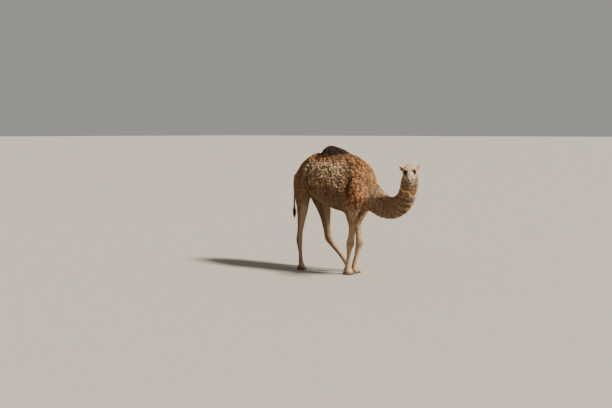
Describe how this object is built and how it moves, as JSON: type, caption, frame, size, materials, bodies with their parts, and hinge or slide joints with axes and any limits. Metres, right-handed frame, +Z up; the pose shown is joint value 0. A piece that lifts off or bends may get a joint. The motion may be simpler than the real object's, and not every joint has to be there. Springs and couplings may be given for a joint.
{
  "type": "dromedary camel",
  "caption": "Life-size still model of a dromedary camel standing in mid step, head turned to its right, with a woolly coat and a simple collar.",
  "frame": {"origin": "middle of the bounding box in plan, at the height of the soles", "axes": "+X the way the body faces, +Y its left side, +Z up"},
  "size_m": [2.695, 0.8448, 2.0977],
  "materials": {
    "flank_coat": "short woolly curls, sandy brown",
    "hump_coat": "dense dark brown curls",
    "neck_coat": "shaggy wool with vertical folds, brown",
    "face_coat": "short pale hair, grey-white at the muzzle",
    "ear_coat": "short fuzzy hair",
    "tail_hair": "short hair with a darker tuft of long hair",
    "thigh_and_forearm_coat": "short flat hair",
    "lower_leg_coat": "very short pale hair",
    "foot_coat": "very short hair over a leathery pad",
    "eye": "wet dark brown, glossy",
    "toenail": "dull dark horn",
    "collar_webbing": "flat woven yellow band, a little frayed",
    "knot_cord": "soft purple cord tied in a knot"
  },
  "bodies": {
    "root": {"trunk": "flank_coat", "hump": "hump_coat", "neck_lower": "neck_coat", "neck_middle": "neck_coat", "neck_upper": "neck_coat", "head": "face_coat", "tail": "tail_hair", "tail_tuft": "tail_hair", "foreleg_right_upper": "thigh_and_forearm_coat", "foreleg_right_cannon": "lower_leg_coat", "foreleg_right_foot": "foot_coat", "foreleg_left_upper": "thigh_and_forearm_coat", "foreleg_left_cannon": "lower_leg_coat", "foreleg_left_foot": "foot_coat", "hindleg_right_upper": "thigh_and_forearm_coat", "hindleg_right_cannon": "lower_leg_coat", "hindleg_right_foot": "foot_coat", "hindleg_left_upper": "thigh_and_forearm_coat", "hindleg_left_cannon": "lower_leg_coat", "hindleg_left_foot": "foot_coat", "eye_left": "eye", "eye_right": "eye", "ear_left": "ear_coat", "ear_right": "ear_coat", "nail_front_left_outer": "toenail", "nail_front_left_inner": "toenail", "nail_front_right_outer": "toenail", "nail_front_right_inner": "toenail", "nail_hind_left_outer": "toenail", "nail_hind_left_inner": "toenail", "nail_hind_right_outer": "toenail", "nail_hind_right_inner": "toenail", "collar": "collar_webbing", "collar_knot": "knot_cord"}
  },
  "joints": []
}
